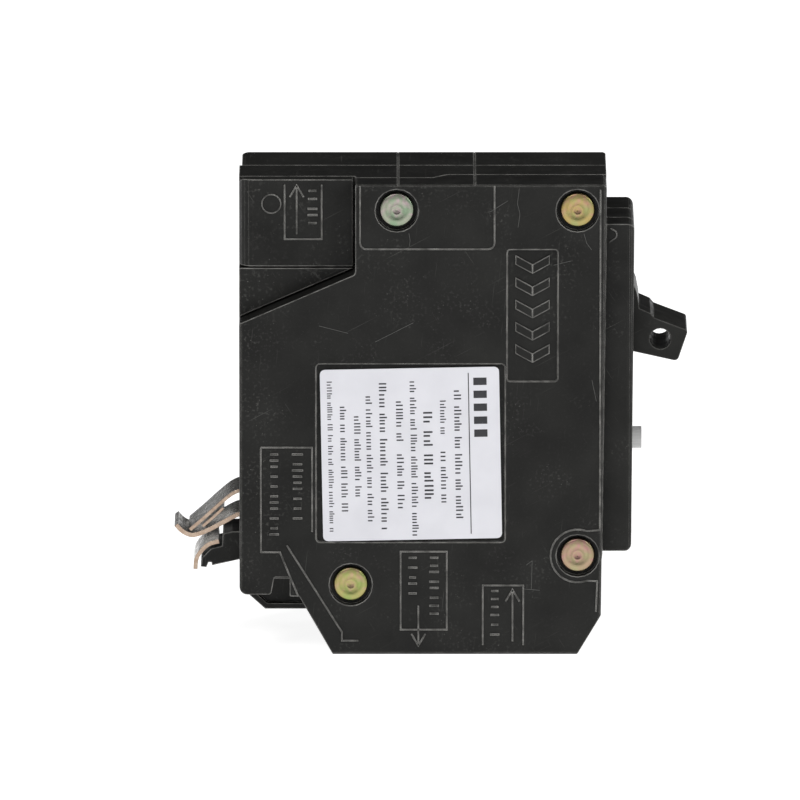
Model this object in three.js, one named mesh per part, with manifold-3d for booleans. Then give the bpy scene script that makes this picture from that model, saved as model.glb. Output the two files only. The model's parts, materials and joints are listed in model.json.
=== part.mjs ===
// A one-inch, one-pole ground-fault circuit breaker of the plug-on-neutral kind.
// Millimetres, +Z up. The breaker stands on its load end. X runs from the panel side to the handle side, and Y runs
// from the electronics side to the mechanism side, with the middle of the width at zero.
import * as THREE from "three";
import { mergeVertices } from "three/addons/utils/BufferGeometryUtils.js";
import Module from "manifold-3d";

const wasm = await Module();
wasm.setup();

// ---- Driving dimensions ----
const HEIGHT = 76.2;
const WIDTH = 25.0;
const NEAR = -WIDTH / 2;
const FAR = WIDTH / 2;
const FRONT_TOP = 58.0;
const FRONT_BOTTOM = 57.2;
const LEAN = (FRONT_TOP - FRONT_BOTTOM) / HEIGHT;
const WALL = 1.8;
const CLEAR = 0.3;
const SEAM = 0.2;
const REACH = 200;

// The case is three slices. The seam beside the electronics steps across the case at STEP_X.
const SEAM_NEAR_BACK = -7.4;
const SEAM_NEAR_FRONT = -5.1;
const SEAM_FAR = 1.9;
const STEP_X = 31.8;
const STEP_SLANT = 1.2;
const WEB = [-1.2, 0];

// The raised nose that carries the handle and the test button.
const NOSE = { front: 62.4, lean: 0.4, halfWidth: 10, z0: 16.3, z1: 69.3, radius: 1.1 };

// The separate block at the line end, and the edge of the cover that runs down from it.
const BLOCK = { x1: 18.05, z0: 62.2, near: -8.75, far: -6.35 };
const COVER_STEP = { x: 18.35, z: 61.7, zBack: 53.7 };
const FOOT = { back: 9.8, toothX: 9.45, toothZ: 9.5, loadX: 14.8, notchTop: 12.6, hollow: 12.7 };
const LOW = { back: 7.6, x: 3.95, z: 4.0, rim: 0.9, recess: 0.8 };
const CHAMFER = { x: 53.4, z: 6.4 };
const BASE_BACK = 0.4;
const TOP_GROOVES = [25.1, 37.2];

// Handle
const PIVOT = [52.2, 54.2];
const DRUM_R = 11.05;
const HUB_R = 6;
const HANDLE_HALF = 5.65;
const TRUNNION = { r: 2, end: 8.7 };
const TIE_HOLE = { x: 66.55, z: 49.76, r: 1.68 };
const SLOT = { half: HANDLE_HALF + CLEAR, z0: 46.4, z1: 62.2 };

// Contact arm: drawn closed, then swung open about its pivot.
const ARM_PIVOT = [40, 56];
const ARM_SWING = 20;
const ARM_Y = [3, 5];
const CONTACT_X = 17.5;
const CRADLE_PIVOT = [44, 40.5];
const CRADLE_Y = [6, 7.6];
const ARMATURE_FOOT = [18.1, 17.5];

// Load-end terminals, one on each side of the web.
const TERMINAL_Y = 6.5;
const SCREW_Z = 9.0;
const WIRE_X = 41.2;
const WIRE_HOLE_R = 3.2;

const BUTTON = { z: 32.5, tip: 63.7 };
const SOLENOID = { y: -6.6, z: 34 };
const TOROID = { x: 36, z: 65.5, r: 7, hole: 3.2 };
const CLIP_HALF = 4.3;

const RIVETS = {
  rivet_line_back: [24.9, 72.0],
  rivet_line_front: [53.4, 72.0],
  rivet_load_front: [53.5, 16.1],
  rivet_load_back: [17.6, 11.4],
};
const RIVET = { shank: 1.5, hole: 1.8, head: 2.75, bore: 3.4, boss: 3.95, sunk: 1.3 };

const FINISHES = {
  phenolic: { color: 0x2a2a29, roughness: 0.48, metalness: 0 },
  handle: { color: 0x242423, roughness: 0.38, metalness: 0 },
  button: { color: 0xd9d8d2, roughness: 0.45, metalness: 0 },
  paper: { color: 0xf2f2f0, roughness: 0.75, metalness: 0 },
  zinc: { color: 0xc2b478, roughness: 0.35, metalness: 1 },
  tin: { color: 0xcfcac2, roughness: 0.3, metalness: 1 },
  copper: { color: 0xb87352, roughness: 0.35, metalness: 1 },
  silver: { color: 0xd8d8d6, roughness: 0.3, metalness: 1 },
  steel: { color: 0xa9adb0, roughness: 0.4, metalness: 1 },
  fibre: { color: 0x7a3b2a, roughness: 0.8, metalness: 0 },
  winding: { color: 0xa5562c, roughness: 0.45, metalness: 0.4 },
  ferrite: { color: 0x30302f, roughness: 0.7, metalness: 0 },
  board: { color: 0x2f5b34, roughness: 0.5, metalness: 0 },
  chip: { color: 0x1b1b1c, roughness: 0.5, metalness: 0 },
  film: { color: 0xc49a38, roughness: 0.5, metalness: 0 },
  varistor: { color: 0x2d5f93, roughness: 0.5, metalness: 0 },
  insulation: { color: 0xe8e6df, roughness: 0.5, metalness: 0 },
  blackWire: { color: 0x202021, roughness: 0.5, metalness: 0 },
};

// ---- Shape helpers ----
function solid(geometry) {
  const bare = geometry.clone();
  bare.deleteAttribute("normal");
  bare.deleteAttribute("uv");
  const merged = mergeVertices(bare, 1e-4);
  const vertProperties = merged.attributes.position.array;
  const triVerts = new Uint32Array(merged.index.array);
  return new wasm.Manifold(new wasm.Mesh({ numProp: 3, vertProperties, triVerts }));
}

const join = (first, ...rest) => rest.reduce((whole, piece) => whole.add(piece), first);
const cut = (first, ...rest) => rest.reduce((whole, tool) => whole.subtract(tool), first);
const common = (first, ...rest) => rest.reduce((whole, piece) => whole.intersect(piece), first);

function box(x0, x1, y0, y1, z0, z1) {
  const block = new THREE.BoxGeometry(x1 - x0, y1 - y0, z1 - z0);
  return solid(block.translate((x0 + x1) / 2, (y0 + y1) / 2, (z0 + z1) / 2));
}

const sidesFor = (radius) => 4 * Math.ceil(2 + 1.6 * Math.sqrt(radius));

function rodY(x, z, radius, y0, y1) {
  const rod = new THREE.CylinderGeometry(radius, radius, y1 - y0, sidesFor(radius));
  return solid(rod.translate(x, (y0 + y1) / 2, z));
}

function rodX(y, z, radius, x0, x1) {
  const rod = new THREE.CylinderGeometry(radius, radius, x1 - x0, sidesFor(radius));
  return solid(rod.rotateZ(Math.PI / 2).translate((x0 + x1) / 2, y, z));
}

function rodZ(x, y, radius, z0, z1) {
  const rod = new THREE.CylinderGeometry(radius, radius, z1 - z0, sidesFor(radius));
  return solid(rod.rotateX(Math.PI / 2).translate(x, y, (z0 + z1) / 2));
}

// The points of a closed outline. A corner [a, b, radius] is rounded by an arc.
function rounded(corners) {
  return corners.flatMap(([a, b, radius = 0], i) => {
    const corner = new THREE.Vector2(a, b);
    if (radius === 0) return [corner];
    const [beforeA, beforeB] = corners.at(i - 1);
    const [afterA, afterB] = corners[(i + 1) % corners.length];
    const back = new THREE.Vector2(beforeA, beforeB).sub(corner).normalize();
    const onward = new THREE.Vector2(afterA, afterB).sub(corner).normalize();
    const half = Math.acos(back.dot(onward)) / 2;
    const bisector = back.clone().add(onward).normalize();
    const centre = corner.clone().addScaledVector(bisector, radius / Math.sin(half));
    const start = corner.clone().addScaledVector(back, radius / Math.tan(half)).sub(centre);
    const end = corner.clone().addScaledVector(onward, radius / Math.tan(half)).sub(centre);
    const turn = Math.atan2(start.cross(end), start.dot(end));
    const steps = Math.ceil(2 + 2 * Math.sqrt(radius));
    return Array.from({ length: steps + 1 }, (_, k) =>
      start.clone().rotateAround(new THREE.Vector2(), (turn * k) / steps).add(centre),
    );
  });
}

// The corners of a counterclockwise outline moved inwards by a distance.
function inset(corners, distance) {
  return corners.map(([a, b], i) => {
    const [beforeA, beforeB] = corners.at(i - 1);
    const [afterA, afterB] = corners[(i + 1) % corners.length];
    const arriving = new THREE.Vector2(a - beforeA, b - beforeB).normalize();
    const leaving = new THREE.Vector2(afterA - a, afterB - b).normalize();
    const shift = distance / (1 + arriving.dot(leaving));
    return [a - (arriving.y + leaving.y) * shift, b + (arriving.x + leaving.x) * shift];
  });
}

function extruded(corners, depth, sideways, upwards, along) {
  const geometry = new THREE.ExtrudeGeometry(new THREE.Shape(rounded(corners)), { depth, bevelEnabled: false });
  return geometry.applyMatrix4(new THREE.Matrix4().makeBasis(sideways, upwards, along));
}

const AXIS_X = new THREE.Vector3(1, 0, 0);
const AXIS_Y = new THREE.Vector3(0, 1, 0);
const AXIS_Z = new THREE.Vector3(0, 0, 1);

// A plate whose outline is given in X and Z, and lies between two values of Y.
function plateY(corners, y0, y1) {
  return solid(extruded(corners, y1 - y0, AXIS_X, AXIS_Z, AXIS_Y.clone().negate()).translate(0, y1, 0));
}

// A plate whose outline is given in X and Y, and lies between two values of Z.
function plateZ(corners, z0, z1) {
  return solid(extruded(corners, z1 - z0, AXIS_X, AXIS_Y, AXIS_Z).translate(0, 0, z0));
}

// A plate whose outline is given in Y and Z, and lies between two values of X.
function plateX(corners, x0, x1) {
  return solid(extruded(corners, x1 - x0, AXIS_Y, AXIS_Z, AXIS_X).translate(x0, 0, 0));
}

// The outline of a bent strip of even thickness around its centre line.
function strip(line, thickness) {
  const side = (sign) =>
    line.map(([a, b], i) => {
      const [beforeA, beforeB] = line[Math.max(i - 1, 0)];
      const [afterA, afterB] = line[Math.min(i + 1, line.length - 1)];
      const arriving = new THREE.Vector2(a - beforeA, b - beforeB).normalize();
      const leaving = new THREE.Vector2(afterA - a, afterB - b).normalize();
      const along = arriving.clone().add(leaving).normalize();
      const cosine = Math.max(along.dot(arriving), along.dot(leaving));
      const reach = (sign * thickness) / 2 / cosine;
      return [a - along.y * reach, b + along.x * reach];
    });
  return [...side(1), ...side(-1).reverse()];
}

// A smooth centre line through a few points.
function bend(points, steps) {
  const curve = new THREE.SplineCurve(points.map(([a, b]) => new THREE.Vector2(a, b)));
  return curve.getPoints(steps).map(({ x, y }) => [x, y]);
}

function wireAlong(curve, radius, steps, sides) {
  const ring = Array.from({ length: sides }, (_, k) => {
    const angle = (2 * Math.PI * k) / sides;
    return new THREE.Vector2(radius * Math.cos(angle), radius * Math.sin(angle));
  });
  return solid(new THREE.ExtrudeGeometry(new THREE.Shape(ring), { steps, extrudePath: curve }));
}

function wire(points, radius, steps) {
  const curve = new THREE.CatmullRomCurve3(points.map((point) => new THREE.Vector3(...point)));
  return wireAlong(curve, radius, steps, 7);
}

// A coil spring around a straight line between two points.
class Helix extends THREE.Curve {
  constructor(start, end, radius, turns) {
    super();
    this.start = start;
    this.span = end.clone().sub(start);
    this.radius = radius;
    this.turns = turns;
    const along = this.span.clone().normalize();
    this.across = new THREE.Vector3(0, 1, 0).cross(along).normalize();
    this.third = along.cross(this.across);
  }
  getPoint(t, target = new THREE.Vector3()) {
    const angle = 2 * Math.PI * this.turns * t;
    return target
      .copy(this.start)
      .addScaledVector(this.span, t)
      .addScaledVector(this.across, this.radius * Math.cos(angle))
      .addScaledVector(this.third, this.radius * Math.sin(angle));
  }
}

function coil(start, end, radius, wireRadius, turns) {
  const helix = new Helix(new THREE.Vector3(...start), new THREE.Vector3(...end), radius, turns);
  return wireAlong(helix, wireRadius, turns * 10, 5);
}

// Turns a solid by degrees about the Y direction through [x, z]. Positive takes +X towards +Z.
function swing(piece, [x, z], degrees) {
  return piece.translate([-x, 0, -z]).rotate([0, -degrees, 0]).translate([x, 0, z]);
}

const breaker = new THREE.Group();
breaker.name = "gfci_breaker";

function add(name, finish, piece) {
  const { vertProperties, triVerts } = piece.getMesh();
  const geometry = new THREE.BufferGeometry()
    .setAttribute("position", new THREE.BufferAttribute(vertProperties, 3))
    .setIndex(new THREE.BufferAttribute(triVerts, 1))
    .toNonIndexed();
  geometry.computeVertexNormals();
  const mesh = new THREE.Mesh(geometry, new THREE.MeshStandardMaterial(FINISHES[finish]));
  mesh.name = name;
  breaker.add(mesh);
}

// ---- Case ----
// The load end and the front are the same for every slice. The foot and the line-end corner differ.
const LOAD_AND_FRONT = [
  [FOOT.loadX, 0],
  [CHAMFER.x, 0],
  [FRONT_BOTTOM, CHAMFER.z],
];
const COVER_TOP = [
  [COVER_STEP.x, HEIGHT],
  [COVER_STEP.x, COVER_STEP.z],
  [0, COVER_STEP.zBack],
];
const footSlopeX = (z) => FOOT.toothX + ((FOOT.toothZ - z) / FOOT.toothZ) * (FOOT.loadX - FOOT.toothX);
const LOW_FOOT = [
  [0, LOW.back],
  [LOW.x, LOW.z],
  [footSlopeX(LOW.z), LOW.z],
];
// The hollows stop above the notch in the foot, so the notch is closed at its top.
const HOLLOW_FOOT = [
  [0, FOOT.hollow],
  [FOOT.toothX, FOOT.hollow],
];
const COVER_HOLLOW = inset([...HOLLOW_FOOT, ...LOAD_AND_FRONT, [FRONT_TOP, HEIGHT], ...COVER_TOP], WALL);
const HOLLOW = inset([...HOLLOW_FOOT, ...LOAD_AND_FRONT, [FRONT_TOP, HEIGHT], [0, HEIGHT]], WALL);

// The notch in the foot hooks the panel's mounting rail.
const HOOK_FOOT = [
  [0, FOOT.back, 1.2],
  [5.0, FOOT.back, 0.5],
  [5.5, FOOT.notchTop, 0.3],
  [7.95, FOOT.notchTop, 0.3],
  [7.95, FOOT.toothZ, 0.2],
  [FOOT.toothX, FOOT.toothZ, 0.2],
];

function roundedCase(corners) {
  const leaning = new THREE.Matrix4().makeShear(0, 0, 0, 0, LEAN, 0);
  const frontShape = [
    [-REACH, NEAR],
    [FRONT_BOTTOM, NEAR, 0.5],
    [FRONT_BOTTOM, FAR, 2],
    [-REACH, FAR],
  ];
  const front = extruded(frontShape, HEIGHT, AXIS_X, AXIS_Y, AXIS_Z).applyMatrix4(leaning);
  const backShape = [
    [0, NEAR, 0.5],
    [REACH, NEAR],
    [REACH, FAR],
    [BASE_BACK, FAR, 2.8],
    [BASE_BACK, SEAM_FAR],
    [0, SEAM_FAR],
  ];
  const endShape = [
    [NEAR, 0, 0.5],
    [FAR, 0, 1.2],
    [FAR, HEIGHT, 0.8],
    [NEAR, HEIGHT, 0.5],
  ];
  return common(
    plateY(corners, NEAR, FAR),
    solid(front),
    plateZ(backShape, 0, HEIGHT),
    plateX(endShape, -REACH, REACH),
  );
}

function nose() {
  const { front, lean, halfWidth, z0, z1, radius } = NOSE;
  const inside = FRONT_BOTTOM - WALL;
  const side = [
    [inside, z0],
    [front - lean, z0, radius],
    [front, z1, radius],
    [inside, z1],
  ];
  const plan = [
    [inside, -halfWidth],
    [front, -halfWidth, radius],
    [front, halfWidth, radius],
    [inside, halfWidth],
  ];
  return common(plateY(side, -halfWidth, halfWidth), plateZ(plan, z0, z1));
}

const slice = (piece, y0, y1) => common(piece, box(-REACH, REACH, y0, y1, -REACH, REACH));
const noseHollow = box(50, NOSE.front - 2.1, -NOSE.halfWidth + WALL, NOSE.halfWidth - WALL, NOSE.z0 + WALL, 67.5);

// Openings that pass from one slice into the next.
function sharedOpenings() {
  const screwAndWire = [-TERMINAL_Y, TERMINAL_Y].flatMap((y) => [
    rodX(y, SCREW_Z, 3.2, 52, 60),
    rodZ(WIRE_X, y, WIRE_HOLE_R, -1, 3),
  ]);
  const rivetHoles = Object.values(RIVETS).map(([x, z]) => rodY(x, z, RIVET.hole, NEAR - 1, FAR + 1));
  return [
    ...screwAndWire,
    ...rivetHoles,
    box(57.5, 64, -SLOT.half, SLOT.half, SLOT.z0, SLOT.z1),
    rodX(0, BUTTON.z, 2.0, 57.5, 64),
    box(-1, 3.3, -4.9, 4.9, 13.2, 26.6),
    box(-1, 17.2, -4.1, 4.1, 63.4, 74.6),
    ...TOP_GROOVES.map((x) => box(x - 0.1, x + 0.1, NEAR - 1, FAR + 1, HEIGHT - 0.15, HEIGHT + 1)),
  ];
}

const counterbores = (y0, y1) => Object.values(RIVETS).map(([x, z]) => rodY(x, z, RIVET.bore, y0, y1));
const bosses = (rivets, y0, y1) => rivets.map(([x, z]) => rodY(x, z, RIVET.boss, y0, y1));
const openings = sharedOpenings();
const FLOOR = FAR - WALL;

// Where the slanted step of the seam beside the electronics is at a value of Y.
function stepX(y) {
  const middle = (SEAM_NEAR_BACK + SEAM_NEAR_FRONT) / 2;
  return STEP_X + (2 * STEP_SLANT * (y - middle)) / (SEAM_NEAR_FRONT - SEAM_NEAR_BACK);
}

function electronicsCover() {
  const corners = [
    ...HOOK_FOOT,
    ...LOAD_AND_FRONT,
    [FRONT_TOP, HEIGHT, 0.8],
    [COVER_STEP.x, HEIGHT, 0.3],
    [COVER_STEP.x, COVER_STEP.z, 0.7],
    [0, COVER_STEP.zBack, 0.5],
  ];
  const whole = join(roundedCase(corners), nose());
  const thin = slice(whole, NEAR, SEAM_NEAR_BACK);
  const thickPlan = [
    [stepX(SEAM_NEAR_BACK), SEAM_NEAR_BACK - 1],
    [REACH, SEAM_NEAR_BACK - 1],
    [REACH, SEAM_NEAR_FRONT],
    [stepX(SEAM_NEAR_FRONT), SEAM_NEAR_FRONT],
    [stepX(SEAM_NEAR_BACK), SEAM_NEAR_BACK],
  ];
  const thick = common(whole, plateZ(thickPlan, -REACH, REACH));
  const shell = cut(join(thin, thick), plateY(COVER_HOLLOW, -FLOOR, 0), noseHollow);
  const [lineBack, lineFront, loadFront, loadBack] = Object.values(RIVETS);
  const filled = join(
    shell,
    ...bosses([lineBack, loadBack], -FLOOR - 0.2, SEAM_NEAR_BACK),
    ...bosses([lineFront, loadFront], -FLOOR - 0.2, SEAM_NEAR_FRONT),
    rodY(...PIVOT, 3.6, -FLOOR - 0.2, -SLOT.half),
  );
  const labelRecess = plateY(
    [
      [12.15, 18.3, 0.6],
      [42.0, 18.3, 0.6],
      [42.0, 47.2, 0.6],
      [12.15, 47.2, 0.6],
    ],
    NEAR - 1,
    NEAR + 0.5,
  );
  const markRecess = plateY(
    [
      [42.3, 44.4, 0.5],
      [50.3, 44.4, 0.5],
      [50.3, 65.7, 0.5],
      [42.3, 65.7, 0.5],
    ],
    NEAR - 1,
    NEAR + 0.3,
  );
  return cut(
    filled,
    labelRecess,
    markRecess,
    ...counterbores(NEAR - 1, NEAR + RIVET.sunk),
    rodY(...PIVOT, TRUNNION.r + 0.15, -TRUNNION.end - CLEAR, 0),
    ...openings,
  );
}

function centreFrame() {
  const whole = join(roundedCase([...HOOK_FOOT, ...LOAD_AND_FRONT, [FRONT_TOP, HEIGHT], [0, HEIGHT]]), nose());
  const near = SEAM_NEAR_FRONT + SEAM;
  const nearBack = SEAM_NEAR_BACK + SEAM;
  const middle = slice(whole, near, SEAM_FAR - SEAM / 2);
  const deeperPlan = [
    [-REACH, nearBack],
    [stepX(nearBack) - CLEAR, nearBack],
    [stepX(near) - CLEAR, near],
    [stepX(near) - CLEAR, near + 1],
    [-REACH, near + 1],
  ];
  const deeper = common(whole, plateZ(deeperPlan, -REACH, REACH));
  const slope = (COVER_STEP.z - COVER_STEP.zBack) / COVER_STEP.x;
  const shelfTop = BLOCK.z0 - CLEAR;
  const shelfFoot = COVER_STEP.zBack + 1.3 * CLEAR;
  const shelf = plateY(
    [
      [0, shelfFoot],
      [(shelfTop - shelfFoot) / slope, shelfTop],
      [0, shelfTop],
    ],
    BLOCK.near,
    near,
  );
  const blockSeat = box(-1, COVER_STEP.x, -REACH, BLOCK.far + SEAM, shelfTop, REACH);
  const shell = cut(
    join(middle, deeper, shelf),
    blockSeat,
    plateY(COVER_HOLLOW, NEAR, WEB[0]),
    plateY(HOLLOW, WEB[1], FAR),
    cut(noseHollow, box(50, FRONT_BOTTOM - WALL, ...WEB, 0, HEIGHT)),
  );
  const [lineBack, lineFront, loadFront, loadBack] = Object.values(RIVETS);
  const windows = [
    box(40.5, 60, WEB[0] - 1, WEB[1] + 1, 41.5, 67.5),
    box(50, 58, WEB[0] - 1, WEB[1] + 1, 24, 38),
    box(15.5, 21, WEB[0] - 1, WEB[1] + 1, 32.3, 35.7),
    box(1.8, 9, WEB[0] - 1, WEB[1] + 1, 13, 28.5),
    rodY(TOROID.x, TOROID.z, 3.4, WEB[0] - 1, WEB[1] + 1),
    rodY(27.8, 7, 2.2, WEB[0] - 1, WEB[1] + 1),
  ];
  return cut(
    join(
      shell,
      ...bosses([lineBack, loadBack], nearBack, SEAM_FAR - SEAM / 2),
      ...bosses([lineFront, loadFront], near, SEAM_FAR - SEAM / 2),
    ),
    ...windows,
    ...openings,
  );
}

function baseHousing() {
  const whole = join(roundedCase([...LOW_FOOT, ...LOAD_AND_FRONT, [FRONT_TOP, HEIGHT], [0, HEIGHT]]), nose());
  const near = SEAM_FAR + SEAM / 2;
  const footRecess = inset([...LOW_FOOT, [footSlopeX(FOOT.back), FOOT.back], [0, FOOT.back]], LOW.rim);
  const shell = cut(
    slice(whole, near, FAR),
    plateY(HOLLOW, 0, FLOOR),
    plateY(footRecess, 0, near + LOW.recess),
    noseHollow,
  );
  const filled = join(
    shell,
    ...bosses(Object.values(RIVETS), near, FLOOR + 0.2),
    rodY(...PIVOT, 3.6, SLOT.half, FLOOR + 0.2),
    rodY(...ARM_PIVOT, 1.4, ARM_Y[0] - 0.4, FLOOR + 0.2),
    rodY(...CRADLE_PIVOT, 1.4, CRADLE_Y[0] - 0.8, FLOOR + 0.2),
    box(1.7, 15, 4.4, 5.4, 64.6, 75),
  );
  return cut(
    filled,
    ...counterbores(FAR - RIVET.sunk, FAR + 1),
    rodY(...PIVOT, TRUNNION.r + 0.15, 0, TRUNNION.end + CLEAR),
    ...openings,
  );
}

function lineEndBlock() {
  const { x1, z0, near, far } = BLOCK;
  const face = plateY(
    [
      [0, z0, 0.4],
      [x1, z0, 0.3],
      [x1, HEIGHT, 0.3],
      [0, HEIGHT, 1],
    ],
    near,
    far,
  );
  const plan = plateZ(
    [
      [0, near, 2.2],
      [x1, near, 0.2],
      [x1, far],
      [0, far],
    ],
    z0,
    HEIGHT,
  );
  return common(face, plan);
}

// The black post beside the back wall that carries the lead-in strip. It is held by its shank inside the case.
function clipPost() {
  const corners = [
    [3, 18.1],
    [-1.2, 18.1],
    [-2.7, 17.7, 0.4],
    [-2.8, 15.75],
    [-4.6, 15.3, 0.8],
    [-5.95, 13.9, 0.8],
    [-6.2, 12.4],
    [-5.3, 12.3],
    [-5.0, 13.1],
    [-4.5, 13.1],
    [-4.4, 12.6],
    [0, 13.6],
    [3, 13.6],
  ];
  return plateY(corners, -CLIP_HALF, CLIP_HALF + 0.3);
}

add("electronics_cover", "phenolic", electronicsCover());
add("centre_frame", "phenolic", centreFrame());
add("base_housing", "phenolic", baseHousing());
add("line_end_block", "phenolic", lineEndBlock());
add("neutral_clip_post", "phenolic", clipPost());

// ---- Rivets, label ----
function rivet([x, z]) {
  const headIn = FAR - RIVET.sunk - 0.3;
  const headOut = FAR - 0.35;
  const shank = rodY(x, z, RIVET.shank, -headOut, headOut);
  const heads = [-1, 1].map((side) => {
    const [a, b] = [side * headIn, side * headOut].sort((p, q) => p - q);
    return rodY(x, z, RIVET.head, side < 0 ? a : a + 0.6, side < 0 ? b - 0.6 : b);
  });
  const dimple = rodY(x, z, 1.1, -REACH, -headOut + 0.3);
  return cut(join(shank, ...heads), dimple);
}

for (const [name, place] of Object.entries(RIVETS)) add(name, "zinc", rivet(place));

function label() {
  const [x, z] = [27.14, 32.6];
  const [halfWide, halfTall, radius] = [14.15, 13.9, 0.8];
  const corners = [
    [x - halfWide, z - halfTall, radius],
    [x + halfWide, z - halfTall, radius],
    [x + halfWide, z + halfTall, radius],
    [x - halfWide, z + halfTall, radius],
  ];
  return swing(plateY(corners, NEAR + 0.08, NEAR + 0.25), [x, z], 1.1);
}

add("label", "paper", label());

// ---- Handle and test button ----
function handle() {
  const [x, z] = PIVOT;
  const [low, high, steps] = [-84, 50, 12];
  const rim = Array.from({ length: steps + 1 }, (_, k) => {
    const angle = THREE.MathUtils.degToRad(low + ((high - low) * k) / steps);
    return [x + DRUM_R * Math.cos(angle), z + DRUM_R * Math.sin(angle)];
  });
  const drum = plateY([[x, z], ...rim], -HANDLE_HALF, HANDLE_HALF);
  const lever = plateY(
    [
      [58, 48.7],
      [69.3, 46.15, 0.7],
      [70.95, 51.1, 0.5],
      [65.6, 53.15, 0.4],
      [65.0, 53.9, 0.3],
      [62.6, 54.95],
      [58, 56],
    ],
    -HANDLE_HALF,
    HANDLE_HALF,
  );
  const driveLeg = swing(box(x - 9, x, -4.4, 2.6, z - 1.5, z + 1.5), PIVOT, 20);
  return cut(
    join(
      rodY(x, z, HUB_R, -HANDLE_HALF, HANDLE_HALF),
      drum,
      lever,
      driveLeg,
      rodY(x, z, TRUNNION.r, -TRUNNION.end, TRUNNION.end),
    ),
    rodY(TIE_HOLE.x, TIE_HOLE.z, TIE_HOLE.r, -REACH, REACH),
  );
}

add("handle", "handle", handle());
add("test_button", "button", join(rodX(0, BUTTON.z, 1.75, 56.6, BUTTON.tip), rodX(0, BUTTON.z, 2.7, 58.6, 59.8)));
add("test_leaf", "copper", box(55.8, 56.2, -1.5, 1.5, 26.5, 34.5));
add("test_contact", "silver", rodX(0, 33.2, 0.9, 51, 53.2));

// ---- Neutral clip ----
const clipStrip = (points, steps, thickness) =>
  plateY(strip(bend(points, steps), thickness), -CLIP_HALF, CLIP_HALF);

const clipSpringLine = [
  [4.5, 24.4],
  [1, 24.85],
  [-1, 24.35],
  [-3.2, 22.6],
  [-5.7, 20.3],
  [-7.9, 18.4],
];
const clipDoublerLine = [
  [-2.6, 21.95],
  [-4.3, 20.35],
  [-5.9, 18.95],
];
const clipJawLine = [
  [4.5, 21.7],
  [0, 20.95],
  [-2.4, 19.75],
  [-4.8, 18.45],
  [-6.6, 17.7],
  [-7.8, 17.55],
  [-9.1, 18.15],
  [-10.1, 19.2],
];
const clipLeadInLine = [
  [-3.3, 16.5],
  [-4.8, 16.1],
  [-5.9, 15.2],
  [-6.85, 13.8],
  [-7.05, 12.0],
];
add("neutral_clip_spring", "tin", clipStrip(clipSpringLine, 16, 0.55));
add("neutral_clip_doubler", "tin", clipStrip(clipDoublerLine, 4, 0.45));
add("neutral_clip_jaw", "tin", clipStrip(clipJawLine, 18, 0.7));
add("neutral_clip_lead_in", "tin", clipStrip(clipLeadInLine, 10, 0.65));
add("neutral_strap", "copper", join(box(5, 6, -4.2, 4.6, 19.5, 27), box(5.5, 8, 4.6 - 1, 4.6, 20, 24)));

// ---- Line jaw, strap and contacts ----
function lineJaw() {
  const blade = (side) => bend([[15, 2.4], [12.4, 2.2], [8.6, 1.0], [6.6, 1.25], [5.2, 2.7]], 8).map(
    ([x, y]) => [x, side * y],
  );
  const line = [...blade(-1).reverse(), ...blade(1)];
  return plateZ(strip(line, 0.9), 64.6, 73.4);
}

function jawSpring() {
  const halfLine = [[8.6, 1.95], [12.2, 3.4], [16.3, 3.4]];
  const line = [...halfLine, ...halfLine.toReversed().map(([x, y]) => [x, -y])];
  return plateZ(strip(line, 0.5), 66, 72);
}

function lineStrap() {
  return join(box(12, 21, 1, 6.5, 60.2, 61.2), box(12, 13, 1, 2.4, 60.2, 64.2));
}

const armBar = [
  [14.8, 54.9],
  [36, 54.2, 1],
  [40, 53.4, 1.5],
  [42.6, 56, 2],
  [40, 58.6, 1.5],
  [36, 57.6, 1],
  [14.8, 56.7],
];

function openedArm(piece) {
  return swing(piece, ARM_PIVOT, ARM_SWING);
}

add("line_jaw", "tin", lineJaw());
add("jaw_spring", "steel", jawSpring());
add("line_strap", "copper", lineStrap());
add("fixed_contact", "silver", rodZ(CONTACT_X, 4, 2.1, 58.7, 59.9));
add("contact_arm", "copper", openedArm(cut(plateY(armBar, ...ARM_Y), rodY(...ARM_PIVOT, 1.65, 0, 9))));
add("moving_contact", "silver", openedArm(rodZ(CONTACT_X, 4, 1.8, 57.1, 58.2)));

// ---- Trip mechanism ----
function cradle() {
  const plate = plateY(
    [
      [19.6, 36.6],
      [28, 39],
      [38, 40.3],
      [44, 37.9, 1.5],
      [46.7, 40.5, 1.8],
      [44, 43.1, 1.5],
      [36, 45.0, 1],
      [28, 42],
      [19.6, 38.4],
    ],
    ...CRADLE_Y,
  );
  return cut(plate, rodY(...CRADLE_PIVOT, 1.65, 0, 9));
}

function magnetYoke() {
  const [y0, y1, thick] = [0.5, 5.7, 0.7];
  return join(
    box(24.6, 25.8, y0, y1, 19, 29),
    box(20.4, 25, y0, y0 + thick, 19, 29),
    box(20.4, 25, y1 - thick, y1, 19, 29),
  );
}

function calibrationScrew() {
  return cut(rodX(3.1, 12, 1.4, 24.4, 31), box(30.4, 31.5, 2.8, 3.4, 10, 14));
}

const armatureSpringLine = [
  [17.1, 34],
  [16.2, 30],
  [14.2, 25],
  [12.8, 20.5],
];

add("cradle", "steel", cradle());
add("toggle_spring", "steel", coil([35, 4.2, 42.5], [31.5, 4.2, 49.3], 1.0, 0.22, 6));
add("bimetal", "copper", box(23, 24, 1.6, 4.6, 8, 36));
add("magnet_yoke", "steel", magnetYoke());
add("armature", "steel", box(17.5, 18.7, 0.6, 7.8, ARMATURE_FOOT[1], 37.6));
add("armature_spring", "steel", plateY(strip(bend(armatureSpringLine, 6), 0.35), 3.2, 5.2));
add("calibration_screw", "steel", calibrationScrew());
const braidPath = [
  [38.5, 1.65, 54.6],
  [31, 1.65, 47.5],
  [26, 2.4, 42],
  [23.5, 3.1, 36.6],
];
add("flexible_braid", "copper", wire(braidPath, 0.65, 18));

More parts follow.
